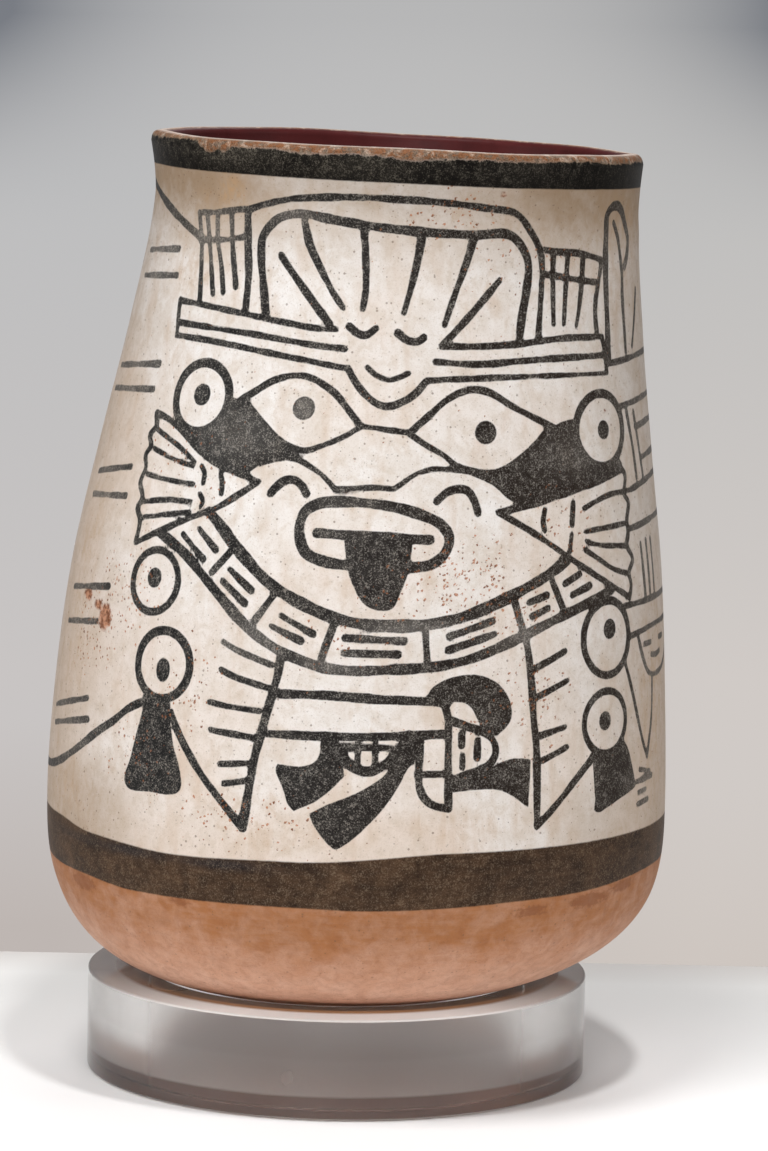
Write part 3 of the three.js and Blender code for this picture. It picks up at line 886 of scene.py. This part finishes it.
class Finish:
    def __init__(self, name):
        self.material = bpy.data.materials.new(name)
        self.material.use_nodes = True
        self.tree = self.material.node_tree
        self.tree.nodes.clear()

    def node(self, kind, settings=None, values=None, output=0):
        made = self.tree.nodes.new(kind)
        for key, value in (settings or {}).items():
            setattr(made, key, value)
        for key, value in (values or {}).items():
            if isinstance(value, Wire):
                self.tree.links.new(value.socket, made.inputs[key])
            else:
                made.inputs[key].default_value = value
        return Wire(self, made.outputs[output])

    def field(self, name):
        return self.node("ShaderNodeAttribute", {"attribute_name": name}, output="Fac")

    def place(self, stretch=(1, 1, 1)):
        # where a point is on the piece, in millimetres, stretched for streaks
        spot = self.node("ShaderNodeTexCoord", output="Object")
        size = tuple(1000 * s for s in stretch)
        return self.node("ShaderNodeVectorMath", {"operation": "MULTIPLY"}, {0: spot, 1: size})

    def along(self, place, axis):
        return self.node("ShaderNodeSeparateXYZ", {}, {0: place}, output=axis)

    def noise(self, place, scale, detail=3.0, rough=0.55, warp=0.0):
        return self.node("ShaderNodeTexNoise", {"noise_dimensions": "3D"},
                         {"Vector": place, "Scale": scale, "Detail": detail, "Roughness": rough,
                          "Distortion": warp})

    def warped(self, place, noise):
        # the same place pushed about by a noise, so that round things go ragged
        return self.node("ShaderNodeVectorMath", {"operation": "ADD"}, {0: place, 1: (noise - 0.5) * 1.6})

    def specks(self, place, scale, share, size):
        # small round specks: in a share of the cells, each of its own size
        cell = {"Vector": place, "Scale": scale, "Randomness": 1.0}
        away = self.node("ShaderNodeTexVoronoi", {"feature": "F1"}, cell)
        luck = self.node("ShaderNodeSeparateColor", {}, {0: self.node(
            "ShaderNodeTexVoronoi", {"feature": "F1"}, cell, output="Color")})
        chosen = (luck + share - 1) / (0.12 if isinstance(share, Wire) else share)
        return ((chosen.clip() * size - away) / 0.06).clip()

    def mix(self, share, first, second, how="MIX"):
        return self.node("ShaderNodeMix", {"data_type": "RGBA", "blend_type": how, "clamp_factor": True},
                         {0: share, 6: first, 7: second}, output=2)

    def surface(self, shader):
        last = self.tree.nodes.new("ShaderNodeOutputMaterial")
        self.tree.links.new(shader.socket, last.inputs["Surface"])
        return self.material


def colour(red, green, blue):
    # an sRGB colour, 0 to 255, as the shader takes it
    def linear(c):
        c = c / 255
        return c / 12.92 if c <= 0.04045 else ((c + 0.055) / 1.055) ** 2.4
    return (linear(red), linear(green), linear(blue), 1.0)


clayLooks = {
    "cream": colour(228, 223, 219),
    "creamPink": colour(218, 204, 193),
    "creamDeep": colour(196, 180, 163),
    "tan": colour(182, 148, 112),
    "grimeAndShade": colour(156, 133, 109),
    "rust": colour(176, 110, 68),
    "rustDark": colour(112, 64, 36),
    "pit": colour(104, 84, 68),
    "blackCool": colour(19, 20, 22),
    "blackWarm": colour(32, 21, 14),
    "blackGrey": colour(52, 49, 45),
    "blackWorn": colour(138, 133, 126),
    "rimBlack": colour(13, 10, 7),
    "rimWorn": colour(104, 97, 86),
    "footDark": colour(48, 34, 24),
    "footBrown": colour(88, 66, 48),
    "footSalt": colour(138, 120, 100),
    "footBlue": colour(38, 38, 42),
    "terracotta": colour(162, 108, 70),
    "terracottaPinkAndBounceLight": colour(218, 172, 148),
    "terracottaGrey": colour(196, 162, 142),
    "seatShadow": colour(92, 50, 26),
    "ochre": colour(122, 72, 42),
    "lipClay": colour(128, 84, 54),
    "lipPaleAndHighlight": colour(200, 186, 176),
    "maroon": colour(78, 30, 30),
    "maroonDeep": colour(48, 20, 20),
    "edgeSoft": 0.2,
    "wobble": 0.42,
    "fineWobble": 0.26,
    "roughBare": 0.52,
    "seatShadowFrom": 19.4,  # millimetres up, where the clay stands in the ring and a painted contact shadow lies on it
    "seatShadowTo": 21.3,
}


def paintedClay():
    looks = clayLooks
    f = Finish("painted_clay")
    place = f.place()
    flat = f.place((0.4, 0.4, 2.4))
    tall = f.place((1, 1, 0.3))
    broad = f.noise(place, 0.03, 2.0, 0.5)
    mid = f.noise(place, 0.16, 5.0, 0.62, 0.4)
    fine = f.noise(place, 0.9, 5.0, 0.7)
    grain = f.noise(place, 3.2, 3.0, 0.8)
    smudge = f.noise(place, 0.4, 5.0, 0.7, 0.6)
    drips = f.noise(tall, 0.22, 3.0, 0.6, 0.3)
    streaks = f.noise(flat, 0.35, 5.0, 0.65, 0.6)

    # bare slip
    highness = f.field("highness")
    slip = f.mix((broad - highness * 0.35).over(0.34, 0.35), looks["cream"], looks["creamPink"])
    slip = f.mix(mid.over(0.55, 0.3) * 0.5, slip, looks["creamDeep"])
    slip = f.mix(smudge.over(0.57, 0.2) * 0.45, slip, looks["creamDeep"])
    slip = f.mix(drips.over(0.6, 0.2) * 0.3, slip, looks["tan"])
    slip = f.mix(grain.over(0.6, 0.15) * 0.3, slip, looks["grimeAndShade"])
    # the grime field holds handling dirt and painted shade on the sides, low down and round the neck
    grimeAndShadeShare = (f.field("grimeAndShade") * (0.3 + broad * 0.45 + mid * 0.4 + smudge * 0.45)).clip()
    slip = f.mix(grimeAndShadeShare, slip, looks["grimeAndShade"])
    runs = f.noise(tall, 0.6, 4.0, 0.65, 0.3)
    tanShare = f.field("tan") * (0.25 + (runs * 0.7 + smudge * 0.5 + fine * 0.3).over(0.78, 0.2) * 0.9)
    slip = f.mix(tanShare.clip(), slip, looks["tan"])
    flecks = fine.over(0.68, 0.07) * (0.3 + mid * 0.6)
    slip = f.mix(flecks, slip, looks["pit"])
    pits = f.specks(place, 1.1, 0.3, 0.3)
    slip = f.mix(pits * (0.3 + 0.5 * fine), slip, looks["pit"])
    smallPits = f.specks(place, 2.1, 0.3, 0.36) * smudge.over(0.5, 0.15)
    slip = f.mix(smallPits * 0.5, slip, looks["pit"])
    rustShare = f.field("rust")
    spray = f.field("spray")
    crowd = spray * smudge.over(0.43, 0.25)
    rustSpecks = f.specks(place, 0.55, 0.045 + rustShare * 0.4 + crowd * 0.16, 0.28)
    rustDots = f.specks(f.warped(place, fine), 1.4, 0.075 + crowd * 0.7, 0.4)
    rustAll = rustSpecks.most(rustDots).most((rustShare + (fine - 0.5) * 0.7).over(0.52, 0.25))
    slip = f.mix(rustAll * (0.35 + fine), slip, f.mix(fine.over(0.5, 0.1), looks["rust"], looks["rustDark"]))

    # brushed lines: a slightly wandering edge, pale grains through the paint, and greyer where it is worn
    wander = (mid - 0.5) * looks["wobble"] + (fine - 0.5) * looks["fineWobble"]
    worn = f.field("worn")
    lines = (f.field("ink") + wander + (grain - 0.5) * 0.16).under(0, looks["edgeSoft"])
    rimUnder = f.field("rimLow") + wander * 0.5
    rimOver = f.field("rimHigh") + (smudge - 0.5) * 1.8 + (fine - 0.5) * 1.1 + (grain - 0.5) * 0.6
    rimLines = rimUnder.under(0, 0.25) * rimOver.under(0, 0.4)
    salt = (grain * 0.85 + fine * 0.35 + worn * 0.06 + (smudge - 0.5) * 0.22).over(0.675, 0.09)
    haze = (worn * (0.3 + smudge * 0.9) + smudge.over(0.56, 0.3) * 0.3).clip()
    across = f.along(place, "X")
    black = f.mix(across.over(5, 70), looks["blackCool"], looks["blackWarm"])
    black = f.mix(grain.over(0.52, 0.3) * 0.6, black, looks["blackGrey"])
    black = f.mix((salt * 0.5 + haze * 0.32).clip(), black, looks["blackWorn"])
    black = f.mix(rustDots * 0.35, black, looks["rust"])
    bare = (salt * 0.12 + flecks * 0.1 + worn * 0.12).clip()
    body = f.mix(lines * (1 - bare), slip, black)
    rimShare = (salt * 0.8 + haze * 0.35) * (0.5 + f.field("rimHigh").over(-2.2, 5) * 0.6) * (
        1 - across.over(30, 40) * 0.55)
    rimBlack = f.mix(rimShare.clip(), looks["rimBlack"], looks["rimWorn"])
    body = f.mix(rimLines, body, rimBlack)

    # foot band: thin brown-black, streaked along, darker along its top
    foot = f.mix((streaks * 0.4 + mid * 0.7).over(0.56, 0.25) * 0.8, looks["footDark"], looks["footBrown"])
    foot = f.mix((f.field("inkWash") * (0.5 + fine * 0.9)).clip(), foot, looks["footBlue"])
    foot = f.mix(salt * 0.4, foot, looks["footSalt"])
    foot = f.mix((grain * 0.7 + fine * 0.5).under(0.5, 0.12) * 0.7, foot, looks["rimBlack"])
    footMask = (f.field("footInk") + wander * 0.6).under(0, 0.3)

    # bare clay below, browner under the band and pinker towards the foot, the pink there partly painted light bounced
    # up from the floor
    # pinker towards the foot is painted bounce light from the floor; the noise on top is the clay's own mottle
    low = highness.under(0.075, 0.1)
    clay = f.mix((low + (mid - 0.5) * 0.6 + (broad - 0.5) * 0.5).clip(), looks["terracotta"], looks["terracottaPinkAndBounceLight"])
    clay = f.mix((streaks * 0.4 + mid * 0.6).over(0.53, 0.2) * 0.3, clay, looks["terracottaGrey"])
    ochre = (f.field("ochre") * (0.2 + streaks * 1.6) + (fine - 0.5) * 0.9).over(0.56, 0.25)
    clay = f.mix(ochre * 0.6, clay, looks["ochre"])
    clay = f.mix(smudge.over(0.56, 0.25) * 0.3, clay, looks["ochre"])
    clay = f.mix(grain.over(0.6, 0.12) * 0.25, clay, looks["pit"])
    clay = f.mix(pits.most(flecks) * 0.4, clay, looks["pit"])
    up = f.along(place, "Z")
    # a thin painted contact shadow on the clay where it stands in the ring
    clay = f.mix(up.under(looks["seatShadowTo"], 0.9) * up.over(looks["seatShadowFrom"], 0.6) * 0.75, clay, looks["seatShadow"])
    clayMask = (f.field("clay") + wander * 0.4).under(1.5, 0.4)
    body = f.mix(clayMask, body, clay)
    body = f.mix(footMask, body, foot)

    # worn lip, pale along its crest from wear and a painted highlight, and the dark slip inside
    lipTurn = f.field("lipTurn")
    lipClay = f.mix(smudge.over(0.56, 0.12) * 0.6, looks["lipClay"], looks["creamDeep"])
    lipClay = f.mix(fine.over(0.52, 0.12) * 0.7, lipClay, looks["rimWorn"])
    lipClay = f.mix(grain.over(0.55, 0.12) * 0.6, lipClay, looks["rimBlack"])
    # the pale crest is worn clay and a painted highlight where light catches the lip
    crest = lipTurn.over(0.44, 0.06) * lipTurn.under(0.53, 0.04) * smudge * 1.1
    lipClay = f.mix(crest.clip(), lipClay, looks["lipPaleAndHighlight"])
    lipMask = lipTurn.over(0.14, 0.06) * (1 - rimLines)
    body = f.mix(lipMask, body, lipClay)
    insideMask = (lipTurn + (fine - 0.5) * 0.12).over(0.57, 0.06)
    maroon = f.mix(mid.over(0.5, 0.4) * 0.5, looks["maroon"], looks["maroonDeep"])
    body = f.mix(insideMask, body, maroon)

    painted = lines.most(rimLines).most(footMask)
    rough = looks["roughBare"] + (fine - 0.5) * 0.2 + (broad - 0.5) * 0.12 - painted * 0.04 - insideMask * 0.12
    relief = fine * 0.35 + grain * 0.2 + mid * 0.8 - pits * 0.5 - smallPits * 0.2 + painted * 0.05
    bump = f.node("ShaderNodeBump", {}, {"Strength": 0.25, "Distance": 0.0004, "Height": relief})
    return f.surface(f.node("ShaderNodeBsdfPrincipled", {}, {
        "Base Color": body, "Roughness": rough.clip(), "Normal": bump, "IOR": 1.45,
        "Specular IOR Level": 0.1}))


acrylicLooks = {
    "clear": (0.98, 0.965, 0.95, 1),
    "dull": (0.94, 0.925, 0.91, 1),
    "footReflection": (0.17, 0.095, 0.075, 1),  # the warm band along the foot of the wall, a painted reflection of the clay above
    "footReflectionRose": (0.42, 0.2, 0.13, 1),
    "edgeGlow": (0.36, 0.34, 0.33, 1),  # painted glow standing for light led through the wall to its sawn top, brightest in front
    "clayReflection": (0.2, 0.09, 0.035, 1),  # a painted reflection of the clay along the bore
    "frost": colour(240, 236, 233),
    "frostDull": colour(226, 219, 214),
    "frostClayReflection": colour(120, 78, 48),
    "footBand": 4.7,  # millimetres up, the top of the painted reflection
    "clayReflectionReach": 44.8,  # how far from the ring's middle its top shows a painted reflection of the clay, in millimetres
    "contactShadowReach": 42.3,  # and how far a painted contact shadow lies under the clay
}


def clearAcrylic():
    looks = acrylicLooks
    f = Finish("clear_acrylic")
    place = f.place()
    haze = f.noise(place, 0.05, 2.0, 0.5)
    sleeks = f.noise(f.place((1, 1, 0.1)), 1.5, 3.0, 0.7)
    up = f.along(place, "Z")
    tint = f.mix(haze.over(0.5, 0.4), looks["clear"], looks["dull"])
    wall = f.field("outerWall")
    cut = f.field("cut")
    across = f.along(place, "X") - ringForm["centre"]
    back = f.along(place, "Y")
    reach = (across * across + back * back) ** 0.5
    # the sawn top is made to glow: painted light, with a painted reflection of the clay near the bore and a painted
    # contact shadow under the clay
    near = reach.under(looks["clayReflectionReach"], 1.5)
    glow = f.mix(near, looks["edgeGlow"], looks["clayReflection"])
    glow = f.mix(reach.under(looks["contactShadowReach"], 0.9), glow, (0, 0, 0, 1))
    front = back.under(-26.0, 36.0)
    upper = up.over(ringForm["height"] / 2, 1.0)
    shining = cut * upper * front
    # the warm tint along the foot of the wall is a painted reflection of the clay
    band = f.mix(across.over(27.0, 14.0) * across.under(42.0, 10.0) * 0.8, looks["footReflection"], looks["footReflectionRose"])
    tint = f.mix(up.under(looks["footBand"], 0.5) * wall, tint, band)
    rough = (0.06 + haze * 0.05 + f.field("bore") * 0.2).clip()
    bump = f.node("ShaderNodeBump", {}, {"Strength": 0.05, "Distance": 0.0003, "Height": haze})
    clear = f.node("ShaderNodeBsdfPrincipled", {}, {
        "Base Color": tint, "Roughness": rough, "Normal": bump, "Transmission Weight": 1.0, "IOR": 1.49})
    frost = f.mix(sleeks, looks["frost"], looks["frostDull"])
    # near the bore the frosted top's colour is a painted reflection of the clay
    frosted = f.node("ShaderNodeBsdfPrincipled", {}, {
        "Base Color": f.mix(near * upper, frost, looks["frostClayReflection"]), "Roughness": 0.85, "IOR": 1.49,
        "Transmission Weight": 0.5, "Emission Strength": 1.0,
        "Emission Color": f.mix(shining, (0, 0, 0, 1), glow)})
    share = cut * (0.35 + front * 0.55) + f.field("bore") * 0.06
    return f.surface(f.node("ShaderNodeMixShader", {}, {0: share.clip(), 1: clear, 2: frosted}))


# floor, backdrop and light
studio = {
    "floorHalf": 0.9,
    "floorBelow": 0.00015,  # a hair under the ring
    "floorBack": 0.105,  # the floor's far edge, behind the vase
    "wallAt": 2.6,
    "wallHalf": 2.2,
    "world": colour(196, 196, 197),
    "worldStrength": 0.4,
}


def plainPlane(name, corners, shader):
    mesh = bpy.data.meshes.new(name)
    mesh.from_pydata(corners, [], [(0, 1, 2, 3)])
    made = bpy.data.objects.new(name, mesh)
    mesh.materials.append(shader)
    scene.collection.objects.link(made)
    return made


def floorFinish():
    # palest round the piece, with painted shade greyer towards the far edge and far out to the sides
    f = Finish("pale_floor")
    spot = f.node("ShaderNodeTexCoord", output="Object")
    back = f.along(spot, "Y")
    away = f.node("ShaderNodeVectorMath", {"operation": "LENGTH"}, {0: spot}, output="Value")
    soft = f.noise(f.place(), 0.02, 2.0, 0.5)
    shade = f.mix(soft, colour(240, 240, 240), colour(246, 246, 246))
    shade = f.mix(back.over(0.032, 0.155), shade, colour(222, 220, 217))
    shade = f.mix(back.over(0.098, 0.03), shade, colour(192, 186, 182))
    shade = f.mix(away.over(0.3, 0.3), shade, colour(150, 149, 148))
    return f.surface(f.node("ShaderNodeBsdfPrincipled", {}, {"Base Color": shade, "Roughness": 0.6}))


def wallFinish():
    # a grey wall that glows, warmer low down and on the right, with painted shade darkening its upper corners
    f = Finish("grey_wall")
    spot = f.node("ShaderNodeTexCoord", output="Object")
    across = f.along(spot, "X") - 0.026
    up = f.along(spot, "Z")
    low = up.under(-0.12, 0.36)
    left = f.mix(low, colour(190, 190, 191), colour(200, 196, 195))
    left = f.mix(up.under(-0.42, 0.16), left, colour(190, 182, 178))
    right = f.mix(low, colour(192, 191, 190), colour(208, 202, 198))
    right = f.mix(up.under(-0.45, 0.14), right, colour(206, 198, 192))
    shade = f.mix(across.over(0.0, 0.5), left, right)
    top = ((up - 0.02) / 0.172).clip() ** 2
    shade = f.mix(top * up.over(0.11, 0.2) * 0.2, shade, colour(140, 142, 146))
    side = (across / 0.285).math("ABSOLUTE") ** 2.9
    shade = f.mix((side * top).clip() * 0.9, shade, colour(112, 116, 124))
    return f.surface(f.node("ShaderNodeEmission", {}, {"Color": shade, "Strength": 1.0}))


def buildStage():
    s = studio
    half, back = s["floorHalf"], s["floorBack"]
    low = -s["floorBelow"]
    plainPlane("pale_floor", [(-half, -1.6, low), (half, -1.6, low), (half, back, low), (-half, back, low)],
               floorFinish())
    wall = s["wallHalf"]
    plainPlane("grey_wall", [(-wall, s["wallAt"], -wall), (wall, s["wallAt"], -wall), (wall, s["wallAt"], wall),
                             (-wall, s["wallAt"], wall)], wallFinish())
    world = bpy.data.worlds.new("soft_room")
    world.use_nodes = True
    ground = world.node_tree.nodes["Background"]
    ground.inputs["Color"].default_value = s["world"]
    ground.inputs["Strength"].default_value = s["worldStrength"]
    scene.world = world


lights = [
    # name, place, aimed at, size, watts
    ("left_overhead", (-0.29, -0.4, 1.36), (0, 0, 0.08), 0.4, 8.5),
    ("right_overhead", (0.15, -0.4, 1.37), (0, 0, 0.08), 0.1, 7.5),
    ("front_softbox", (-0.3, -1.75, 0.7), (0, 0, 0.1), 0.8, 12.0),
    ("left_softbox", (-1.2, -0.3, 0.6), (0, 0, 0.1), 0.6, 3.0),
    ("right_softbox", (1.2, -0.3, 0.7), (0, 0, 0.1), 0.6, 2.0),
    ("back_softbox", (0.2, 1.0, 1.0), (0, 0, 0.1), 0.8, 4.0),
]


def buildLights():
    for name, place, aim, size, watts in lights:
        data = bpy.data.lights.new(name, "AREA")
        data.shape, data.size, data.energy = "DISK", size, watts
        lamp = bpy.data.objects.new(name, data)
        lamp.location = place
        lamp.rotation_euler = (Vector(aim) - Vector(place)).to_track_quat("-Z", "Y").to_euler()
        scene.collection.objects.link(lamp)


view = {
    "place": (-3.2, -951.14, 219.91),  # millimetres
    "lens": 148.04,
    "down": 7.138,
    "turn": 0.4736,
    "roll": 1.2514,
}


def buildCamera():
    down, turn, roll = (math.radians(view[k]) for k in ("down", "turn", "roll"))
    ahead = Vector((math.sin(turn) * math.cos(down), math.cos(turn) * math.cos(down), -math.sin(down)))
    right = Vector((math.cos(turn), -math.sin(turn), 0))
    up = right.cross(ahead)
    across = right * math.cos(roll) + up * math.sin(roll)
    over = up * math.cos(roll) - right * math.sin(roll)
    data = bpy.data.cameras.new("camera")
    data.sensor_fit = "AUTO"
    data.sensor_width = 36
    data.lens = view["lens"]
    data.clip_start, data.clip_end = 0.05, 20
    camera = bpy.data.objects.new("camera", data)
    matrix = Matrix((across, over, -ahead)).transposed().to_4x4()
    matrix.translation = Vector(view["place"]) * mm
    camera.matrix_world = matrix
    scene.collection.objects.link(camera)
    scene.camera = camera


buildCamera()
print("camera placed")
vase = buildVase()
vase.data.materials.append(paintedClay())
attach(vase, "root")
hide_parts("vase")
print("vase painted")
ring = buildRing()
ring.data.materials.append(clearAcrylic())
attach(ring, "root")
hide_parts("ring_stand")
print("ring built")
buildStage()
buildLights()
print("stage and lights set")
